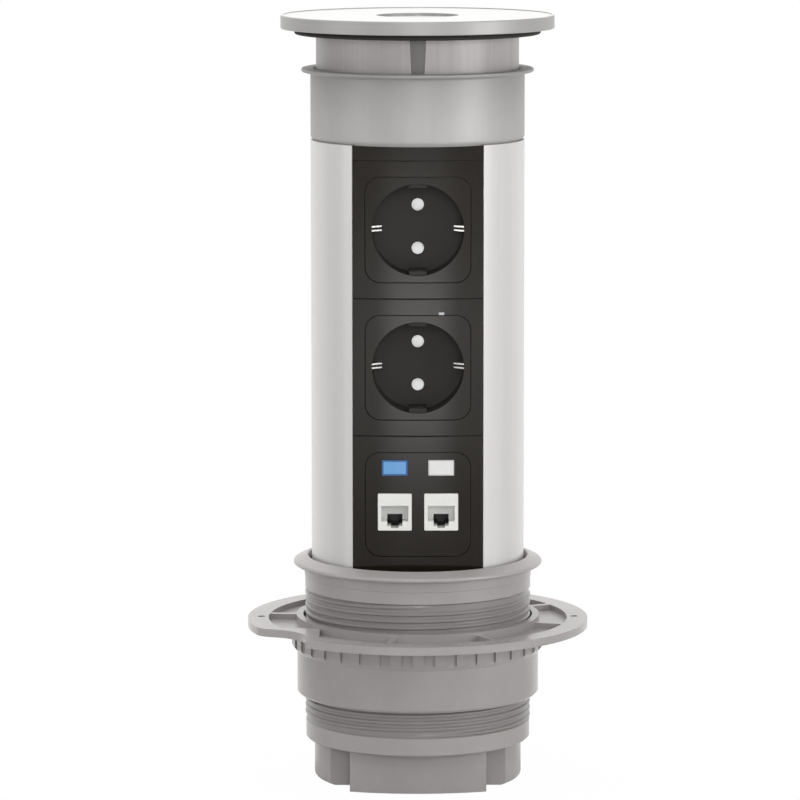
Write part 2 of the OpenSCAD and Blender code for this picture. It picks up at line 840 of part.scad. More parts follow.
module jack_bezel(side) color(white_plastic)
    translate([side * jack_pitch / 2, 0, 0])
        difference() {
            union() {
                translate([0, 0, jack_z])
                    slab(bezel_front, bezel_back) rounded_square(bezel_w, bezel_h, 0.5);
                translate([0, 0, jack_z])
                    slab(rail_y, bezel_back) square([bezel_w + 2, bezel_h + 2.6], center = true);
            }
            slab(bezel_front - 1, bezel_back + 1) port_plan();
        }

module left_jack_bezel() jack_bezel(-1);
module right_jack_bezel() jack_bezel(1);

jack_w = 16.2;
jack_h = 21.4;
jack_depth = 22;
plug_depth = 14;
jack_low = jack_z - bezel_h / 2 - 1.3;
jack_high = jack_low + jack_h;
jack_back = bezel_back + jack_depth;
wire_slot_w = 1.2;
wire_slot_pitch = 3.4;
dust_t = 1.1;
dust_pocket = dust_t + 0.3;
dust_w = port_w + 1.2;
dust_over = 0.5;
mouth_over = 2.25;   // how far the shutter's mouth reaches up over the keyway
grip_w = 8.6;
grip_h = 0.7;

module jack_body(side) color("#3c3b3a")
    translate([side * jack_pitch / 2, 0, 0])
        difference() {
            translate([-jack_w / 2, bezel_back, jack_low]) cube([jack_w, jack_depth, jack_h]);
            slab(bezel_back - 1, bezel_back + plug_depth) port_plan(0.1);
            // pocket that the dust shutter slides up in
            translate([-dust_w / 2 - 0.2, bezel_back - 1, port_low - dust_over - 0.1])
                cube([dust_w + 0.4, dust_pocket + 1, port_h + 2 * dust_over + dust_travel + 0.3]);
            // wire slots at the back
            for (i = [0:3])
                translate([(i - 1.5) * wire_slot_pitch - wire_slot_w / 2, jack_back - 5, jack_high - 3])
                    cube([wire_slot_w, 6, 4]);
        }

module left_jack_body() jack_body(-1);
module right_jack_body() jack_body(1);

module jack_contacts(side) color(brass_tone)
    for (i = [0:7])
        translate([side * jack_pitch / 2 + (i - 3.5) * 1.02 - 0.22, 0, 0])
            rotate([90, 0, 90])
                linear_extrude(height = 0.44)
                    polygon([
                        [bezel_back + plug_depth, port_top - 1.0],
                        [bezel_back + plug_depth, port_top - 0.4],
                        [bezel_back + plug_depth - 2, port_top - 0.4], [bezel_back + 3.4, port_top - 2.5],
                        [bezel_back + 3.6, port_top - 3]
                    ]);

module left_jack_contacts() jack_contacts(-1);
module right_jack_contacts() jack_contacts(1);

module jack_shutter(side) color("#c9c9c7")
    translate([side * jack_pitch / 2, 0, 0])
        difference() {
            translate([-dust_w / 2, bezel_back + 0.15, port_low - dust_over])
                cube([dust_w, dust_t, port_h + 2 * dust_over]);
            translate([-key1_w / 2, bezel_back - 1, port_low - dust_over - 1])
                cube([key1_w, dust_t + 3, dust_over + 1 + mouth_over]);
            // groove for a finger nail at its top
            translate([-grip_w / 2, bezel_back - 1, port_top - grip_h])
                cube([grip_w, 1.15 + dust_t / 2, dust_over + grip_h + 1]);
        }

module left_jack_shutter() jack_shutter(-1);
module right_jack_shutter() jack_shutter(1);

// Lid

dish_r = dish_d / 2;
cap_round = 0.8;
lid_top = lid_z + lid_h;
lid_face = lid_top - edge_bead_h;
edge_bead_w = 1.2;
carrier_top = lid_face - lid_skin - seat_gap;
dish_under = lid_face - dish_depth - lid_skin;

module lid_cap() color("#dcdcdb")
    rotate_extrude()
        polygon(concat(
            [[0, dish_under], [dish_r + lid_skin, dish_under], [dish_r + lid_skin, lid_face - lid_skin],
             [lid_r - lid_skin, lid_face - lid_skin], [lid_r - lid_skin, lid_z], [lid_r - 0.3, lid_z],
             [lid_r, lid_z + 0.3]],
            arc([lid_r - cap_round, lid_top - cap_round], cap_round, 0, 90, 4),
            [[lid_r - edge_bead_w, lid_top], [lid_r - edge_bead_w - 0.15, lid_face]],
            arc([dish_r + 0.3, lid_face - 0.3], 0.3, 90, 180, 2),
            [[dish_r, lid_face - dish_depth], [0, lid_face - dish_depth]]
        ));

lid_screw_d = 2.6;
lid_screw_head_d = 5;
lid_screw_bite = 2.4;
lid_screw_place = neck_r - neck_wall - 2.8;

module at_lid_screws() {
    for (a = [45:90:315])
        rotate(a) translate([lid_screw_place, 0, lid_z - neck_lip]) children();
}

module lid_carrier() color("#77736f")
    difference() {
        rotate_extrude()
            polygon([
                [0, lid_z], [lid_r - lid_skin - seat_gap, lid_z], [lid_r - lid_skin - seat_gap, carrier_top],
                [dish_r + lid_skin + seat_gap, carrier_top],
                [dish_r + lid_skin + seat_gap, dish_under - seat_gap],
                [0, dish_under - seat_gap]
            ]);
        translate([0, 0, lid_z - 1]) cylinder(d = plunger_d + 2 * seat_gap, h = 2);
        at_lid_screws()
            translate([0, 0, neck_lip - 1])
                cylinder(d = lid_screw_d + 2 * seat_gap, h = lid_screw_bite + 1.4);
    }

module lid_seal() color("#26231f")
    rotate_extrude()
        polygon(concat(
            [[neck_r + seat_gap, seal_z], [seal_r - 2, seal_z]],
            arc([seal_r - 0.9, seal_z + 0.9], 0.9, -90, 30, 4),
            [[seal_r - 0.6, lid_z], [neck_r + seat_gap, lid_z]]
        ));

neck_lip = 1.5;
neck_lip_w = 5;
neck_in = neck_r - neck_wall;

// The key's tapered outline seen from the front, grown by g
module key_outline(g) {
    polygon([
        [-key_top_w / 2 - g, lid_z], [-key_foot_w / 2 - g, neck_z - 1],
        [key_foot_w / 2 + g, neck_z - 1], [key_top_w / 2 + g, lid_z]
    ]);
}

module neck_tube() color(steel)
    difference() {
        rotate_extrude()
            polygon([
                [neck_in, neck_z], [neck_r - 0.4, neck_z], [neck_r, neck_z + 0.4], [neck_r, lid_z],
                [neck_in - neck_lip_w, lid_z], [neck_in - neck_lip_w, lid_z - neck_lip],
                [neck_in, lid_z - neck_lip]
            ]);
        slab(-neck_r - 1, -neck_in + 2) key_outline(0);
        at_lid_screws() translate([0, 0, -1]) cylinder(d = 3, h = neck_lip + 2);
    }

module neck_key() color("#6b6865")
    intersection() {
        union() {
            tube(neck_r - 0.25, neck_in - 0.8, neck_z + 0.5, lid_z - neck_lip - 0.1);
        }
        slab(-neck_r - 1, -neck_in + 3) key_outline(-seat_gap);
    }

module lid_screws() color(steel)
    at_lid_screws() rotate([180, 0, 0]) screw(neck_lip + lid_screw_bite, lid_screw_d, lid_screw_head_d, 1.6);

// Push latch on the axis: the plunger hangs from the lid and runs in a housing on the collar's floor
latch_bore_r = plunger_d / 2 + slide_gap;
latch_below = 6;     // the housing's top below the collar's lip
latch_foot_w = 10;
latch_h = lip_top - latch_z - latch_below;
latch_foot_r = plunger_d / 2 + latch_foot_w;
plunger_low = latch_z + 1.3 + lid_lift;

module latch_plunger() color("#5c5a57")
    difference() {
        translate([0, 0, plunger_low]) cylinder(d = plunger_d, h = lid_z + 1 - plunger_low);
        // groove that the latch catches
        translate([0, 0, plunger_low + 2])
            rotate_extrude() translate([plunger_d / 2 - 0.8, 0]) square([2, 1.6]);
    }

module latch_housing() color("#5c5a57")
    rotate_extrude()
        polygon([
            [0, latch_z], [latch_foot_r, latch_z], [latch_foot_r, latch_z + 1.5],
            [latch_bore_r + 2.5, latch_z + 3],
            [latch_bore_r + 2.5, latch_z + latch_h], [latch_bore_r, latch_z + latch_h],
            [latch_bore_r, latch_z + 1], [0, latch_z + 1]
        ]);

desk_sleeve();
upper_glide_band();
lower_glide_band();
clamp_plate();
clamp_nut();
column_profile();
collar_ring();
collar_screws();
neck_glide_band();
foot_cap();
foot_screws();
mains_grommet();
data_grommet();
top_filler();
bottom_filler();
upper_socket_frame();
lower_socket_frame();
data_frame();
upper_socket_insert();
lower_socket_insert();
upper_socket_back();
lower_socket_back();
upper_earth_clip();
lower_earth_clip();
upper_pin_contacts();
lower_pin_contacts();
bus_bars();
earth_bar();
terminal_screws();
indicator_lens();
data_plate();
blue_label_tag();
white_label_tag();
left_jack_bezel();
right_jack_bezel();
left_jack_body();
right_jack_body();
left_jack_contacts();
right_jack_contacts();
upper_pin_shutter();
lower_pin_shutter();
left_jack_shutter();
right_jack_shutter();
lid_cap();
lid_carrier();
lid_seal();
neck_tube();
neck_key();
lid_screws();
latch_plunger();
latch_housing();
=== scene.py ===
import math
import bmesh
import bpy
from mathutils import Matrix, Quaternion, Vector


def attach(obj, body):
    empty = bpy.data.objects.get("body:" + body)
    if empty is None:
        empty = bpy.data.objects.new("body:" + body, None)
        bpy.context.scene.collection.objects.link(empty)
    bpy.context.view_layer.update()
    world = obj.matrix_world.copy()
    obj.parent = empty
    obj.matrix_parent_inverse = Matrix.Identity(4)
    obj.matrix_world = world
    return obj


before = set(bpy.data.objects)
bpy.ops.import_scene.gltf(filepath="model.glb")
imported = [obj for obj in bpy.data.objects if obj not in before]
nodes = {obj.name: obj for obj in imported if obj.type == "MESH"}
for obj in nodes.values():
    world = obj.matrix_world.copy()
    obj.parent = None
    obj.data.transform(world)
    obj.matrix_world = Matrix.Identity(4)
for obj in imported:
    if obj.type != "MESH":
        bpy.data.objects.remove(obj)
scene = bpy.context.scene
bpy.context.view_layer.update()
mm = 0.001
print("frame loaded:", len(nodes), "pieces")


def toLinear(hexColour):  # sRGB hex, as a colour picker shows it, to the linear values that shaders want
    channels = [int(hexColour[i:i + 2], 16) / 255 for i in (1, 3, 5)]
    return [c / 12.92 if c <= 0.04045 else ((c + 0.055) / 1.055) ** 2.4 for c in channels] + [1.0]


def perMm(size):  # a texture scale whose features are this many millimetres across
    return 1000 / size


def cosine(degrees):
    return math.cos(math.radians(degrees))


def addNode(tree, kind, values=None, links=None, stops=(), **settings):
    made = tree.nodes.new(kind)
    for name, value in settings.items():
        setattr(made, name, value)
    for socket, value in (values or {}).items():
        made.inputs[socket].default_value = value
    for socket, source in (links or {}).items():
        tree.links.new(source, made.inputs[socket])
    for index, (position, colour) in enumerate(stops):    # the ends of a colour ramp
        made.color_ramp.elements[index].position = position
        made.color_ramp.elements[index].color = toLinear(colour)
    return made


def newMaterial(name):
    material = bpy.data.materials.new(name)
    material.use_nodes = True
    material.node_tree.nodes.clear()
    return material, material.node_tree


# A slow noise hardly leaves the range from 0.3 to 0.7, so a finish's two tones lie at these two places
toneEnds = (0.3, 0.7)

# The camera stands where the photographer's did: far off, a little above the lid. Metres and degrees.
view = {
    "away": 2.07, "height": 0.4512, "aside": -0.0078,    # where it stands
    "aim": 0.1688, "roll": -0.05,                        # the height it looks at, and how level it is
    "lens": 212.5, "sensor": 36,                         # millimetres
    "clipStart": 0.1, "clipEnd": 50,
}
camera = bpy.data.objects.new("camera", bpy.data.cameras.new("camera"))
scene.collection.objects.link(camera)
scene.camera = camera
camera.data.lens = view["lens"]
camera.data.sensor_width = view["sensor"]
camera.location = (view["aside"], -view["away"], view["height"])
towards = Vector((view["aside"], 0, view["aim"])) - camera.location
level = towards.to_track_quat("-Z", "Y")
camera.rotation_euler = (level @ Quaternion((0, 0, 1), math.radians(view["roll"]))).to_euler()
camera.data.clip_start, camera.data.clip_end = view["clipStart"], view["clipEnd"]
scene.view_settings.view_transform = "Standard"
print("camera placed")


# A pale room, brightest overhead and a little behind, with soft square lamps in front, at both sides
# and on top
room = {
    "level": 0.24, "overhead": 2.3,                      # its walls, and the middle of its bright part
    "towards": (-0.2, 0.62, 0.76), "spread": 65,         # where the bright part is, and its half width
    "white": "#ffffff",
}
lamps = {    # metres and watts
    "frontLamp": {"at": (0.08, -2.4, 0.75), "size": 0.7, "power": 12.5},
    "keyLamp": {"at": (0.0, -1.5, 2.0), "size": 1.2, "power": 13.0},
    "rightLamp": {"at": (1.6, -1.0, 0.45), "size": 0.9, "power": 15.0},
    "leftLamp": {"at": (-1.9, -0.9, 0.6), "size": 1.2, "power": 8.5},
    "topLamp": {"at": (-0.3, 1.1, 1.9), "size": 2.0, "power": 6.0},
}
lampsAim = (0, 0, 0.17)    # the middle of the column

# What glossy faces mirror of the room: grey on the camera's side, white behind, a pale box on each side
mirrored = {
    "front": 0.35, "behind": 1.15, "riseFrom": 0.12, "riseTo": 0.85,    # how far back grey turns white
    "dimmed": 0.3, "dimFrom": 0.3, "dimTo": 0.9,                        # the white fades with height
    "above": 0.35, "aboveFrom": 0.6,                                    # and some light right above
    "boxes": ({"at": 72, "width": 52, "level": 0.42}, {"at": -80, "width": 60, "level": 0.2}),
}


def mirroredLevel(tree, direction):
    front = mirrored["front"]
    part = addNode(tree, "ShaderNodeSeparateXYZ", None, {0: direction}).outputs
    rise = addNode(tree, "ShaderNodeMapRange",
                   {"From Min": mirrored["riseFrom"], "From Max": mirrored["riseTo"],
                    "To Min": 0, "To Max": mirrored["behind"] - front},
                   {"Value": part["Y"]}, interpolation_type="SMOOTHSTEP")
    dim = addNode(tree, "ShaderNodeMapRange",
                  {"From Min": mirrored["dimFrom"], "From Max": mirrored["dimTo"],
                   "To Min": 1, "To Max": 1 - mirrored["dimmed"]},
                  {"Value": part["Z"]}, interpolation_type="SMOOTHSTEP")
    above = addNode(tree, "ShaderNodeMapRange",
                    {"From Min": mirrored["aboveFrom"], "From Max": 1,
                     "To Min": front, "To Max": front + mirrored["above"]},
                    {"Value": part["Z"]}, interpolation_type="SMOOTHSTEP")
    total = addNode(tree, "ShaderNodeMath", None,
                    {0: rise.outputs[0], 1: dim.outputs[0], 2: above.outputs[0]}, operation="MULTIPLY_ADD")
    for box in mirrored["boxes"]:
        angle = math.radians(box["at"])
        facing = addNode(tree, "ShaderNodeVectorMath", {1: (math.sin(angle), -math.cos(angle), 0)},
                         {0: direction}, operation="DOT_PRODUCT")
        glow = addNode(tree, "ShaderNodeMapRange",
                       {"From Min": cosine(box["width"]), "To Max": box["level"]},
                       {"Value": facing.outputs["Value"]}, interpolation_type="SMOOTHSTEP")
        total = addNode(tree, "ShaderNodeMath", None, {0: total.outputs[0], 1: glow.outputs[0]},
                        operation="ADD")
    return total.outputs[0]


def buildLight():
    world = bpy.data.worlds.new("room")
    scene.world = world
    world.use_nodes = True
    tree = world.node_tree
    tree.nodes.clear()
    white = toLinear(room["white"])
    direction = addNode(tree, "ShaderNodeTexCoord").outputs["Generated"]
    overhead = addNode(tree, "ShaderNodeVectorMath", {1: room["towards"]}, {0: direction},
                       operation="DOT_PRODUCT")
    dome = addNode(tree, "ShaderNodeMapRange",
                   {"From Min": cosine(room["spread"]), "From Max": 1,
                    "To Min": room["level"], "To Max": room["overhead"]},
                   {"Value": overhead.outputs["Value"]}, interpolation_type="SMOOTHSTEP")
    light = addNode(tree, "ShaderNodeBackground", {"Color": white}, {"Strength": dome.outputs[0]})
    mirror = addNode(tree, "ShaderNodeBackground", {"Color": white},
                     {"Strength": mirroredLevel(tree, direction)})
    backdrop = addNode(tree, "ShaderNodeBackground", {"Color": white, "Strength": 1.0})
    path = addNode(tree, "ShaderNodeLightPath").outputs
    seen = addNode(tree, "ShaderNodeMath", None, {0: path["Is Camera Ray"], 1: path["Is Transmission Ray"]},
                   operation="MAXIMUM")
    unseen = addNode(tree, "ShaderNodeMixShader", None,
                     {0: path["Is Glossy Ray"], 1: light.outputs[0], 2: mirror.outputs[0]})
    shown = addNode(tree, "ShaderNodeMixShader", None,
                    {0: seen.outputs[0], 1: unseen.outputs[0], 2: backdrop.outputs[0]})
    addNode(tree, "ShaderNodeOutputWorld", links={"Surface": shown.outputs[0]})
    for name, lamp in lamps.items():
        data = bpy.data.lights.new(name, "AREA")
        data.shape = "SQUARE"
        data.size = lamp["size"]
        data.energy = lamp["power"]
        made = bpy.data.objects.new(name, data)
        scene.collection.objects.link(made)
        made.location = lamp["at"]
        made.rotation_euler = (Vector(lampsAim) - made.location).to_track_quat("-Z", "Y").to_euler()


# The floor is seamless white paper, matt: it only shows the soft shadow. The camera sees a little of it
# near the object, and plain white further out
paper = {
    "dark": "#cccccc", "light": "#d0d0d0", "fibres": 40, "fibreDetail": 3, "roughness": 0.9,
    "half": 6.0, "drop": 0.2,                            # metres to each edge; millimetres below the foot
    "lift": 0.985, "whiteFrom": 0.2, "whiteAt": 0.9,     # how white it looks near the object, then all white
}
# Glossy faces mirror a pale card on the paper, in front of the object: metres away, and its strength
card = {
    "level": 2.5, "near": 0.7, "full": 1.5, "fade": 1.8, "far": 3.2,
    "parts": ({"half": 14, "share": 0.72}, {"half": 50, "share": 0.28}),    # bright middle, weak soft sides
}


def cardLevel(tree, place, away):
    outward = addNode(tree, "ShaderNodeVectorMath", None, {0: place}, operation="NORMALIZE").outputs[0]
    facing = addNode(tree, "ShaderNodeVectorMath", {1: (0, -1, 0)}, {0: outward}, operation="DOT_PRODUCT")
    start = addNode(tree, "ShaderNodeMapRange",
                    {"From Min": card["near"], "From Max": card["full"], "To Max": card["level"]},
                    {"Value": away}, interpolation_type="SMOOTHSTEP")
    end = addNode(tree, "ShaderNodeMapRange",
                  {"From Min": card["fade"], "From Max": card["far"], "To Min": 1, "To Max": 0},
                  {"Value": away}, interpolation_type="SMOOTHSTEP")
    band = addNode(tree, "ShaderNodeMath", None, {0: start.outputs[0], 1: end.outputs[0]},
                   operation="MULTIPLY")
    total = mirroredLevel(tree, outward)
    for piece in card["parts"]:
        inFront = addNode(tree, "ShaderNodeMapRange",
                          {"From Min": cosine(piece["half"]), "To Max": piece["share"]},
                          {"Value": facing.outputs["Value"]}, interpolation_type="SMOOTHSTEP")
        total = addNode(tree, "ShaderNodeMath", None,
                        {0: band.outputs[0], 1: inFront.outputs[0], 2: total},
                        operation="MULTIPLY_ADD").outputs[0]
    return total


def buildFloor():
    material, tree = newMaterial("seamlessPaperWhite")
    white = toLinear(room["white"])
    place = addNode(tree, "ShaderNodeTexCoord").outputs["Object"]
    away = addNode(tree, "ShaderNodeVectorMath", None, {0: place}, operation="LENGTH").outputs["Value"]
    fibres = addNode(tree, "ShaderNodeTexNoise",
                     {"Scale": perMm(paper["fibres"]), "Detail": paper["fibreDetail"]})
    tone = addNode(tree, "ShaderNodeValToRGB", None, {"Fac": fibres.outputs["Fac"]},
                   zip(toneEnds, (paper["dark"], paper["light"])))
    matt = addNode(tree, "ShaderNodeBsdfPrincipled",
                   {"Roughness": paper["roughness"], "Specular IOR Level": 0.0},
                   {"Base Color": tone.outputs["Color"]})
    lift = addNode(tree, "ShaderNodeEmission", {"Color": white, "Strength": 1.0})
    mirror = addNode(tree, "ShaderNodeEmission", {"Color": white},
                     {"Strength": cardLevel(tree, place, away)})
    clear = addNode(tree, "ShaderNodeMapRange",
                    {"From Min": paper["whiteFrom"], "From Max": paper["whiteAt"],
                     "To Min": paper["lift"], "To Max": 1.0}, {"Value": away})
    path = addNode(tree, "ShaderNodeLightPath").outputs
    shown = matt
    for ray, look in (("Is Camera Ray", lift), ("Is Glossy Ray", mirror)):
        share = addNode(tree, "ShaderNodeMath", None, {0: path[ray], 1: clear.outputs[0]},
                        operation="MULTIPLY")
        shown = addNode(tree, "ShaderNodeMixShader", None,
                        {0: share.outputs[0], 1: shown.outputs[0], 2: look.outputs[0]})
    addNode(tree, "ShaderNodeOutputMaterial", links={"Surface": shown.outputs[0]})
    mesh = bpy.data.meshes.new("paperFloor")
    half = paper["half"]
    mesh.from_pydata([(-half, -half, 0), (half, -half, 0), (half, half, 0), (-half, half, 0)], [],
                     [(0, 1, 2, 3)])
    mesh.materials.append(material)
    floor = bpy.data.objects.new("paperFloor", mesh)
    scene.collection.objects.link(floor)
    floor.location.z = -paper["drop"] * mm


buildLight()
buildFloor()
print("light and floor made")


# What every moulded piece has: a fine spark-eroded grain, a slightly uneven sheen, a slow drift of tone.
# The real grain is about 0.1 mm; at 0.4 to 0.5 mm it is as coarse as it has to be to show
moulding = {
    "grain": 0.5, "grainDepth": 0.02, "grainDetail": 2, "bump": 0.35,    # two in millimetres, two strengths
    "drift": 18, "driftDetail": 4,                                       # millimetres from tone to tone
    "sheen": 0.04,                                                       # how far the roughness wanders
    "zoneEdge": 0.5, "borderEdge": 0.1, "blastEdge": 0.15,               # millimetres that an edge takes
}


# Painted shade: the darker tone between two heights stands in for shade, here on the sleeve's thread zone
def paintedShadeZone(tree, place, tone, zone):  # another tone between two heights
    height = addNode(tree, "ShaderNodeSeparateXYZ", None, {0: place}).outputs["Z"]
    low = addNode(tree, "ShaderNodeMapRange",
                  {"From Min": (zone["low"] - moulding["zoneEdge"]) * mm, "From Max": zone["low"] * mm},
                  {"Value": height})
    high = addNode(tree, "ShaderNodeMapRange",
                   {"From Min": zone["high"] * mm, "From Max": (zone["high"] + moulding["zoneEdge"]) * mm,
                    "To Min": 1, "To Max": 0}, {"Value": height})
    inside = addNode(tree, "ShaderNodeMath", None, {0: low.outputs[0], 1: high.outputs[0]},
                     operation="MULTIPLY")
    return addNode(tree, "ShaderNodeMix", {"B": toLinear(zone["colour"])},
                   {"Factor": inside.outputs[0], "A": tone}, data_type="RGBA").outputs["Result"]


# A darker tone at a tag's edges: a dark frame on the blue tag, painted shade on the white tag
def tagEdgeAndPaintedShade(tree, place, tone, border):  # another tone along the edges of a tag's face
    part = addNode(tree, "ShaderNodeSeparateXYZ", None, {0: place}).outputs
    past = []
    for axis, index in (("X", 0), ("Z", 2)):
        along = [vertex.co[index] for vertex in nodes[border["of"]].data.vertices]
        low, high = min(along), max(along)
        off = addNode(tree, "ShaderNodeMath", {1: (low + high) / 2}, {0: part[axis]}, operation="SUBTRACT")
        out = addNode(tree, "ShaderNodeMath", None, {0: off.outputs[0]}, operation="ABSOLUTE")
        past.append(addNode(tree, "ShaderNodeMath", {1: (high - low) / 2 - border["width"] * mm},
                            {0: out.outputs[0]}, operation="SUBTRACT"))
    edge = addNode(tree, "ShaderNodeMath", None, {0: past[0].outputs[0], 1: past[1].outputs[0]},
                   operation="MAXIMUM")
    share = addNode(tree, "ShaderNodeMapRange",
                    {"From Min": -moulding["borderEdge"] * mm, "From Max": moulding["borderEdge"] * mm},
                    {"Value": edge.outputs[0]})
    return addNode(tree, "ShaderNodeMix", {"B": toLinear(border["colour"])},
                   {"Factor": share.outputs[0], "A": tone}, data_type="RGBA").outputs["Result"]


# Behind the curved front face the tool was blasted, so that recesses and seams don't shine
def blastedSheen(tree, place, sheen, blast):
    part = addNode(tree, "ShaderNodeSeparateXYZ", None, {0: place}).outputs
    bulge = addNode(tree, "ShaderNodeMath", {1: -1 / (2 * blast["radius"] * mm)}, {0: part["X"]},
                    operation="MULTIPLY")
    behind = addNode(tree, "ShaderNodeMath", None, {0: part["X"], 1: bulge.outputs[0], 2: part["Y"]},
                     operation="MULTIPLY_ADD")
    start = blast["depth"] - blast["front"]
    rougher = addNode(tree, "ShaderNodeMapRange",
                      {"From Min": start * mm, "From Max": (start + moulding["blastEdge"]) * mm,
                       "To Max": blast["rougher"]}, {"Value": behind.outputs[0]})
    return addNode(tree, "ShaderNodeMath", None, {0: sheen, 1: rougher.outputs[0]},
                   operation="ADD").outputs[0]


def mouldedPlastic(name, dark, light, roughness, grain=moulding["grain"], grainDepth=moulding["grainDepth"],
                   specular=0.5, glow=0.0, zone=None, border=None, blast=None):
    material, tree = newMaterial(name)
    place = addNode(tree, "ShaderNodeTexCoord").outputs["Object"]
    slow = addNode(tree, "ShaderNodeTexNoise",
                   {"Scale": perMm(moulding["drift"]), "Detail": moulding["driftDetail"]}, {"Vector": place})
    fine = addNode(tree, "ShaderNodeTexNoise",
                   {"Scale": perMm(grain), "Detail": moulding["grainDetail"]}, {"Vector": place})
    bump = addNode(tree, "ShaderNodeBump", {"Strength": moulding["bump"], "Distance": grainDepth * mm},
                   {"Height": fine.outputs["Fac"]})
    tone = addNode(tree, "ShaderNodeValToRGB", None, {"Fac": slow.outputs["Fac"]},
                   zip(toneEnds, (dark, light))).outputs["Color"]
    if zone:
        tone = paintedShadeZone(tree, place, tone, zone)
    # a border is a darker edge; on the white tag it is painted shade
    if border:
        tone = tagEdgeAndPaintedShade(tree, place, tone, border)
    sheen = addNode(tree, "ShaderNodeMapRange",
                    {"To Min": roughness - moulding["sheen"], "To Max": roughness + moulding["sheen"]},
                    {"Value": fine.outputs["Fac"]}).outputs[0]
    if blast:
        sheen = blastedSheen(tree, place, sheen, blast)
    # a glow, where set, is painted light: the part glows though it is no lamp
    shader = addNode(tree, "ShaderNodeBsdfPrincipled",
                     {"Specular IOR Level": specular, "Emission Color": toLinear(room["white"]),
                      "Emission Strength": glow},
                     {"Base Color": tone, "Normal": bump.outputs[0], "Roughness": sheen})
    addNode(tree, "ShaderNodeOutputMaterial", links={"Surface": shader.outputs[0]})
    return material


# What every metal piece has: streaks that run with the belt, the die or the lathe, in tone and in sheen.
# Their sizes along x, y and z are millimetres; real streaks are finer, and these are as coarse as shows
metalwork = {
    "streakDetail": 5, "streakRoughness": 0.6, "streakShare": 0.45,    # fine streaks
    "cloudDetail": 2, "cloudShare": 0.55,                              # and broad ones
    "bump": 0.2, "depth": 0.02, "sheen": 0.06,                         # strength, millimetres, roughness
}


def paintedLipShade(tree, place, tone, fade):  # painted shade: darker from one height to another, standing in for the lid's shade
    height = addNode(tree, "ShaderNodeSeparateXYZ", None, {0: place}).outputs["Z"]
    share = addNode(tree, "ShaderNodeMapRange",
                    {"From Min": fade["low"] * mm, "From Max": fade["high"] * mm},
                    {"Value": height}, interpolation_type="SMOOTHSTEP")
    return addNode(tree, "ShaderNodeMix", {"B": toLinear(fade["colour"])},
                   {"Factor": share.outputs[0], "A": tone}, data_type="RGBA").outputs["Result"]


# Painted highlight: faces that look up get a much lighter tone than the sides, standing in for the light on
# the top
def turnedTopPaintedLight(tree, place, sides, top):  # faces that look up are turned finer: rings round the middle
    upward = addNode(tree, "ShaderNodeNewGeometry").outputs["Normal"]
    height = addNode(tree, "ShaderNodeSeparateXYZ", None, {0: upward}).outputs["Z"]
    share = addNode(tree, "ShaderNodeMapRange", {"From Min": top["upFrom"], "From Max": top["upTo"]},
                    {"Value": height})
    flat = addNode(tree, "ShaderNodeVectorMath", {1: (1, 1, 0)}, {0: place}, operation="MULTIPLY")
    radius = addNode(tree, "ShaderNodeVectorMath", None, {0: flat.outputs[0]}, operation="LENGTH")
    rings = addNode(tree, "ShaderNodeTexNoise",
                    {"Scale": perMm(top["ring"]), "Detail": top["ringDetail"],
                     "Roughness": top["ringRoughness"]},
                    {"W": radius.outputs["Value"]}, noise_dimensions="1D").outputs["Fac"]
    groove = addNode(tree, "ShaderNodeBump", {"Strength": top["bump"], "Distance": metalwork["depth"] * mm},
                     {"Height": rings})
    tone = addNode(tree, "ShaderNodeValToRGB", None, {"Fac": rings},
                   zip(toneEnds, (top["dark"], top["light"])))
    sheen = addNode(tree, "ShaderNodeMapRange",
                    {"To Min": top["roughness"] - metalwork["sheen"],
                     "To Max": top["roughness"] + metalwork["sheen"]}, {"Value": rings})
    turned = addNode(tree, "ShaderNodeBsdfPrincipled", {"Metallic": top["metallic"]},
                     {"Base Color": tone.outputs["Color"], "Normal": groove.outputs[0],
                      "Roughness": sheen.outputs[0]})
    return addNode(tree, "ShaderNodeMixShader", None,
                   {0: share.outputs[0], 1: sides.outputs[0], 2: turned.outputs[0]})


def streakedMetal(name, dark, light, roughness, clouds, streaks, metallic=1.0, fade=None, top=None):
    material, tree = newMaterial(name)
    place = addNode(tree, "ShaderNodeTexCoord").outputs["Object"]
    along = addNode(tree, "ShaderNodeMapping", {"Scale": [perMm(size) for size in streaks]},
                    {"Vector": place})
    lines = addNode(tree, "ShaderNodeTexNoise",
                    {"Scale": 1.0, "Detail": metalwork["streakDetail"],
                     "Roughness": metalwork["streakRoughness"]}, {"Vector": along.outputs[0]}).outputs["Fac"]
    across = addNode(tree, "ShaderNodeMapping", {"Scale": [perMm(size) for size in clouds]},
                     {"Vector": place})
    wide = addNode(tree, "ShaderNodeTexNoise", {"Scale": 1.0, "Detail": metalwork["cloudDetail"]},
                   {"Vector": across.outputs[0]}).outputs["Fac"]
    part = addNode(tree, "ShaderNodeMath", {1: metalwork["streakShare"]}, {0: lines}, operation="MULTIPLY")
    both = addNode(tree, "ShaderNodeMath", {1: metalwork["cloudShare"]}, {0: wide, 2: part.outputs[0]},
                   operation="MULTIPLY_ADD")
    tone = addNode(tree, "ShaderNodeValToRGB", None, {"Fac": both.outputs[0]},
                   zip(toneEnds, (dark, light))).outputs["Color"]
    # a fade, where set, is painted shade
    if fade:
        tone = paintedLipShade(tree, place, tone, fade)
    bump = addNode(tree, "ShaderNodeBump",
                   {"Strength": metalwork["bump"], "Distance": metalwork["depth"] * mm}, {"Height": lines})
    sheen = addNode(tree, "ShaderNodeMapRange",
                    {"To Min": roughness - metalwork["sheen"], "To Max": roughness + metalwork["sheen"]},
                    {"Value": lines})
    shader = addNode(tree, "ShaderNodeBsdfPrincipled", {"Metallic": metallic},
                     {"Base Color": tone, "Normal": bump.outputs[0], "Roughness": sheen.outputs[0]})
    # a turned top, where set, is painted lighter: painted light
    if top:
        shader = turnedTopPaintedLight(tree, place, shader, top)
    addNode(tree, "ShaderNodeOutputMaterial", links={"Surface": shader.outputs[0]})
    return material


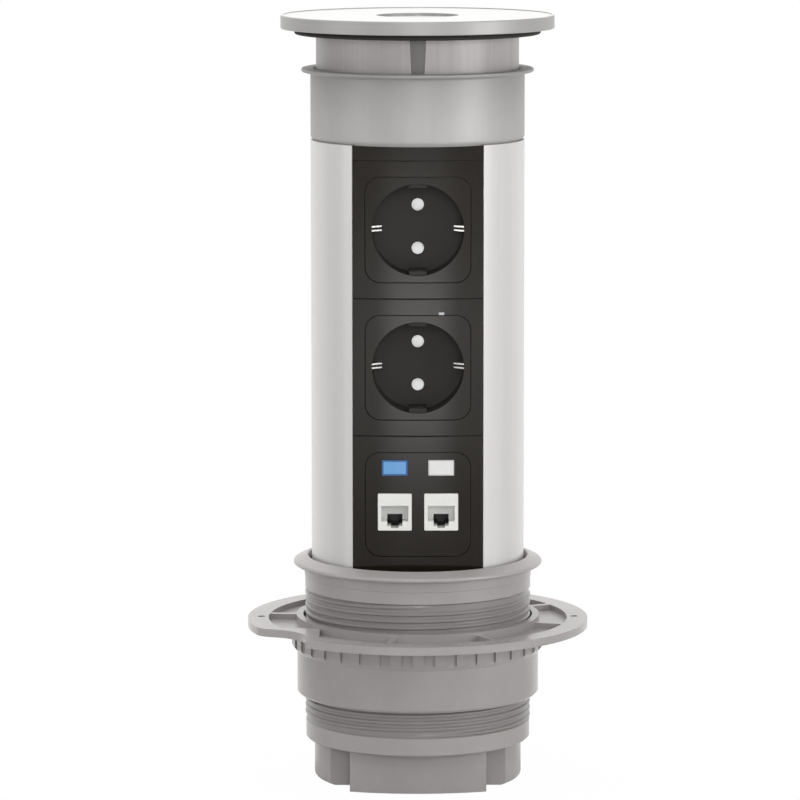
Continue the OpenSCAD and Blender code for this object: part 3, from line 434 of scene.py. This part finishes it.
finishes = {
    # ABS, moulded in a satin tool: the plate, nut and foot, one warm grey with soft broad highlights
    "greyAbsSatin": mouldedPlastic("greyAbsSatin", "#969291", "#9c9897", 0.26),
    # the same plastic on the sleeve, a little rougher; its thread zone is painted darker, a painted shade
    # for the shade in the thread and under the flange and nut
    "greyAbsThreadPaintedShade": mouldedPlastic(
        "greyAbsThreadPaintedShade", "#989493", "#9e9a99", 0.3,
        zone={"low": 26.5, "high": 85.5, "colour": "#837f7e"}),
    # lacquered ABS: lighter than the bare grey, with a metal's soft sheen; painted darker towards its lip, a
    # painted shade for the lid's shade
    "silverLacquer": streakedMetal(
        "silverLacquer", "#a09e9d", "#aaa9a7", 0.5, clouds=(30, 30, 30), streaks=(3, 3, 60),
        metallic=0.3, fade={"low": 290, "high": 316, "colour": "#959392"}),
    # aluminium, extruded and anodised: pale and milky, its drawing lines run up the column
    "anodisedAluminium": streakedMetal(
        "anodisedAluminium", "#c8c7c6", "#d0cfce", 0.36, clouds=(9, 9, 400), streaks=(0.9, 0.9, 260),
        metallic=0.35),
    # stainless tube, ground lengthwise: upright streaks, dark and bright
    "groundSteelNeck": streakedMetal(
        "groundSteelNeck", "#969291", "#aba8a7", 0.42, clouds=(14, 14, 300), streaks=(1.5, 1.5, 120),
        metallic=0.1),
    # steel, pressed: the lid's rim is satin, and its top is turned with fine rings and painted lighter, a
    # painted highlight for the light that falls on it
    "turnedSteelLid": streakedMetal(
        "turnedSteelLid", "#999897", "#a2a1a0", 0.42, clouds=(90, 90, 200), streaks=(60, 60, 0.4),
        metallic=0.2, top={"dark": "#d2d2d0", "light": "#dededc", "roughness": 0.3, "metallic": 0.8,
                           "ring": 0.9, "ringDetail": 3, "ringRoughness": 0.7, "bump": 0.3,
                           "upFrom": 0.75, "upTo": 0.95}),
    # black ABS, moulded with a fine eroded grain: the modules' fronts mirror the floor, their recesses don't
    "blackAbsGrained": mouldedPlastic(
        "blackAbsGrained", "#17120c", "#1b160f", 0.13, grain=0.4, grainDepth=0.008,
        blast={"front": 39.6, "radius": 160, "depth": 0.35, "rougher": 0.42}),
    # black ABS, moulded plain: the jacks' dark insides
    "blackAbsPlain": mouldedPlastic("blackAbsPlain", "#131211", "#191817", 0.35),
    # polyamide, moulded unpolished: dull dark grey carriers
    "darkPolyamide": mouldedPlastic("darkPolyamide", "#4f4d4a", "#5a5855", 0.55),
    # white ABS from a polished tool: the jack fronts, clean and glossy
    "whiteAbsGloss": mouldedPlastic("whiteAbsGloss", "#d3d3d0", "#d9d9d6", 0.22, grainDepth=0.004),
    # white polyester, moulded: the pin shutters are milky; a painted glow makes them bright deep down in the
    # pin holes, where they lie in shade
    "whitePolyesterPaintedGlow": mouldedPlastic(
        "whitePolyesterPaintedGlow", "#fafaf8", "#ffffff", 0.4, grainDepth=0.004, glow=0.21),
    # light grey ABS, moulded: the dust shutters, a step darker than the jack fronts
    "paleGreyAbs": mouldedPlastic("paleGreyAbs", "#d6d6d4", "#dededc", 0.35),
    # ABS from a polished tool: the blue tag has a dark edge, the white one a grey edge of painted shade
    "blueTagAbs": mouldedPlastic(
        "blueTagAbs", "#5a92c4", "#6699c8", 0.25, grainDepth=0.004,
        border={"of": "blue_label_tag", "width": 0.75, "colour": "#2c5488"}),
    "whiteTagAbs": mouldedPlastic(
        "whiteTagAbs", "#cfcfce", "#d6d6d5", 0.25, grainDepth=0.004,
        border={"of": "white_label_tag", "width": 0.5, "colour": "#b3b2b1"}),
    # grey ABS, moulded: the dull dark key in the neck's slot
    "greyKeyAbs": mouldedPlastic("greyKeyAbs", "#605d5c", "#6b6866", 0.45),
    # rubber, moulded: seal and grommets, matt and nearly black
    "mattRubber": mouldedPlastic("mattRubber", "#2a2725", "#312e2b", 0.7, specular=0.3),
    # acetal, moulded: slippery black glide bands
    "blackAcetal": mouldedPlastic("blackAcetal", "#262628", "#2e2e30", 0.4),
    # spring steel strip, tinned: the bright earth clips
    "tinnedStrip": streakedMetal(
        "tinnedStrip", "#dcdbd8", "#efeeec", 0.2, clouds=(6, 6, 6), streaks=(0.6, 20, 0.6)),
    # brass, rolled and left bare: yellow contacts
    "rolledBrass": streakedMetal(
        "rolledBrass", "#b98f3c", "#d3ac58", 0.28, clouds=(6, 6, 6), streaks=(0.6, 20, 0.6)),
    # steel, zinc plated: the screws, blotchy bright grey
    "zincSteel": streakedMetal(
        "zincSteel", "#a9a8a6", "#c3c2c0", 0.3, clouds=(3, 3, 3), streaks=(0.5, 0.5, 0.5)),
    # acrylic, moulded: the tiny milky lens
    "milkyAcrylic": mouldedPlastic("milkyAcrylic", "#a4a8aa", "#aeb2b4", 0.12, grainDepth=0.002),
}
print("finishes made:", len(finishes))

wears = {
    "greyAbsSatin": ["clamp_plate", "clamp_nut", "foot_cap"],
    "greyAbsThreadPaintedShade": ["desk_sleeve"],
    "silverLacquer": ["collar_ring"],
    "anodisedAluminium": ["column_profile"],
    "groundSteelNeck": ["neck_tube"],
    "turnedSteelLid": ["lid_cap"],
    "blackAbsGrained": ["top_filler", "bottom_filler", "upper_socket_frame", "lower_socket_frame",
                        "data_frame", "upper_socket_insert", "lower_socket_insert", "data_plate"],
    "blackAbsPlain": ["left_jack_body", "right_jack_body"],
    "darkPolyamide": ["upper_socket_back", "lower_socket_back", "lid_carrier", "latch_plunger",
                      "latch_housing"],
    "whiteAbsGloss": ["left_jack_bezel", "right_jack_bezel"],
    "whitePolyesterPaintedGlow": ["upper_pin_shutter", "lower_pin_shutter"],
    "paleGreyAbs": ["left_jack_shutter", "right_jack_shutter"],
    "blueTagAbs": ["blue_label_tag"],
    "whiteTagAbs": ["white_label_tag"],
    "greyKeyAbs": ["neck_key"],
    "mattRubber": ["lid_seal", "mains_grommet", "data_grommet"],
    "blackAcetal": ["upper_glide_band", "lower_glide_band", "neck_glide_band"],
    "tinnedStrip": ["upper_earth_clip", "lower_earth_clip"],
    "rolledBrass": ["upper_pin_contacts", "lower_pin_contacts", "bus_bars", "earth_bar",
                    "left_jack_contacts", "right_jack_contacts"],
    "zincSteel": ["collar_screws", "foot_screws", "terminal_screws", "lid_screws"],
    "milkyAcrylic": ["indicator_lens"],
}
for finish, members in wears.items():
    for member in members:
        places = nodes[member].material_slots
        if not places:
            nodes[member].data.materials.append(finishes[finish])
        for place in places:
            place.material = finishes[finish]
print("finishes worn by", sum(len(members) for members in wears.values()), "pieces")


# The sleeve's outside thread, right handed: it starts at the front, just above the smooth band. Millimetres
thread = {
    "root": 49.2, "crest": 50.0, "pitch": 3.0, "low": 27.3, "turns": 19.02, "start": -90, "steps": 144,
    "crestWidth": 0.9, "footWidth": 2.0,       # of its section
    "corner": 0.08, "shoulder": 0.85,          # the crest's rounded corners, and how high they start
    "sunk": 0.15, "sunkWider": 0.05,           # how far the foot reaches into the sleeve
    "runOut": 34, "runOutShape": 0.7,          # degrees at each end, and how bluntly they end
    "endCrest": 0.4,                           # the crest's share of its width at the very ends
}


def threadOutline(fade):  # its section, outwards and up, where it has risen to this share of its height
    height = (thread["crest"] - thread["root"]) * fade ** thread["runOutShape"]
    foot = thread["footWidth"] / 2
    top = thread["crestWidth"] / 2 * (thread["endCrest"] + (1 - thread["endCrest"]) * fade)
    sunk, wide = thread["sunk"], foot + thread["sunkWider"]
    corner, shoulder = thread["corner"], height * thread["shoulder"]
    return [(-sunk, -wide), (0, -foot), (shoulder, -top - corner), (height, -top + corner),
            (height, top - corner), (shoulder, top + corner), (0, foot), (-sunk, wide)]


def buildThread():
    total = int(thread["turns"] * thread["steps"])
    mesh = bmesh.new()
    rings = []
    for i in range(total + 1):
        turn = 360 * thread["turns"] * i / total
        fade = min(1, turn / thread["runOut"], (360 * thread["turns"] - turn) / thread["runOut"])
        angle = math.radians(thread["start"] + turn)
        z = thread["low"] + thread["pitch"] * turn / 360
        rings.append([mesh.verts.new(((thread["root"] + out) * mm * math.cos(angle),
                                      (thread["root"] + out) * mm * math.sin(angle), (z + up) * mm))
                      for out, up in threadOutline(fade)])
    for a, b in zip(rings, rings[1:]):
        for k in range(len(a)):
            n = (k + 1) % len(a)
            mesh.faces.new((a[k], b[k], b[n], a[n]))
    mesh.faces.new(list(reversed(rings[0])))
    mesh.faces.new(rings[-1])
    bmesh.ops.recalc_face_normals(mesh, faces=mesh.faces)
    data = bpy.data.meshes.new("sleeveThread")
    mesh.to_mesh(data)
    mesh.free()
    made = bpy.data.objects.new("sleeveThread", data)
    scene.collection.objects.link(made)
    # the thread wears the sleeve's finish, with its painted shade
    data.materials.append(finishes["greyAbsThreadPaintedShade"])
    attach(made, "sleeve")


buildThread()
print("thread cut")
